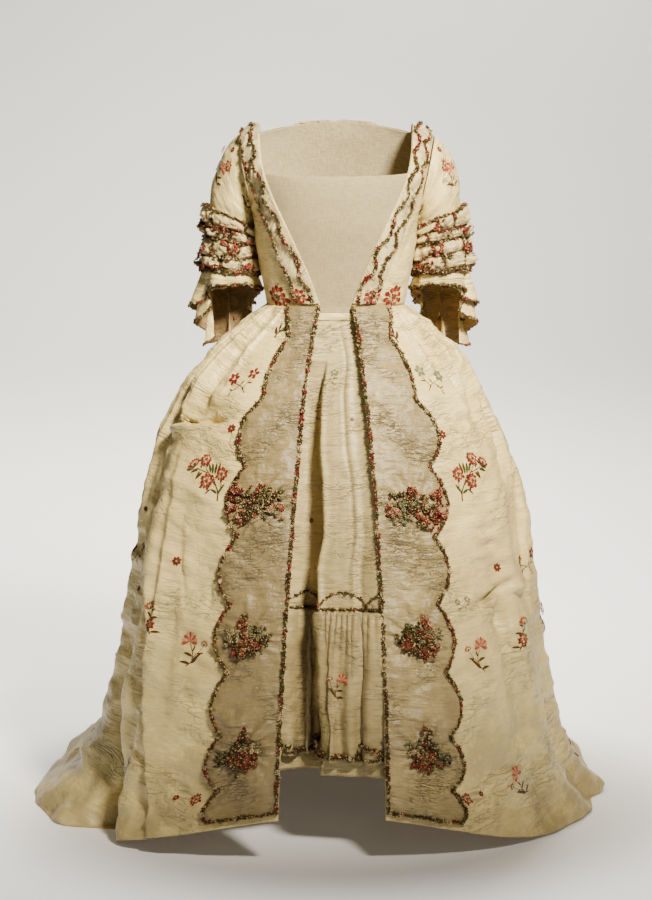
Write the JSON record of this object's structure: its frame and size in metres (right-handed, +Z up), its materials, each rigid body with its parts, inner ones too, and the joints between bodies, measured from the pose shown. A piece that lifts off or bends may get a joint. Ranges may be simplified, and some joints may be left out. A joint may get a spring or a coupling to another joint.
{
  "type": "robe a la francaise",
  "caption": "Sack-back silk gown worn open over a matching flounced petticoat and a plain linen stomacher, with puffed sleeves, scalloped robings and a train.",
  "frame": {"origin": "middle of the shoulder line, 1.318 m above the floor, where the wearer's shoulders hold the gown", "axes": "+Z up, the front faces -Y, +X is the wearer's left"},
  "size_m": [1.1331, 1.3775, 1.323],
  "materials": {
    "silk": "ivory silk, lightly ribbed and self-figured, brocaded with sprays of red flowers",
    "robing_silk": "the same silk ruched crosswise, yellower and browner",
    "linen": "plain-woven natural linen",
    "floss_braid": "dark knotted silk-floss braid in brown, green, cream and red",
    "floss_posy": "bunches of cut silk floss in red, pink, green and cream"
  },
  "bodies": {
    "root": {"bodice_front_left": "silk", "bodice_front_right": "silk", "skirt_front_left": "silk", "skirt_front_right": "silk", "sack_back": "silk", "sleeve_left": "silk", "sleeve_right": "silk", "puff_upper_left": "silk", "puff_upper_right": "silk", "puff_lower_left": "silk", "puff_lower_right": "silk", "cuff_flounce_upper_left": "silk", "cuff_flounce_upper_right": "silk", "cuff_flounce_lower_left": "silk", "cuff_flounce_lower_right": "silk", "petticoat": "silk", "petticoat_band": "silk", "petticoat_flounce": "silk", "robing_left": "robing_silk", "robing_right": "robing_silk", "skirt_robing_left": "robing_silk", "skirt_robing_right": "robing_silk", "bodice_braid_inner_left": "floss_braid", "bodice_braid_inner_right": "floss_braid", "bodice_braid_outer_left": "floss_braid", "bodice_braid_outer_right": "floss_braid", "straight_braid_left": "floss_braid", "straight_braid_right": "floss_braid", "scallop_braid_left": "floss_braid", "scallop_braid_right": "floss_braid", "cuff_braid_left": "floss_braid", "cuff_braid_right": "floss_braid", "header_braid": "floss_braid", "arch_braid": "floss_braid", "flounce_braid": "floss_braid", "posy_1_left": "floss_posy", "posy_1_right": "floss_posy", "posy_2_left": "floss_posy", "posy_2_right": "floss_posy", "posy_3_left": "floss_posy", "posy_3_right": "floss_posy", "stomacher": "linen"}
  },
  "joints": []
}
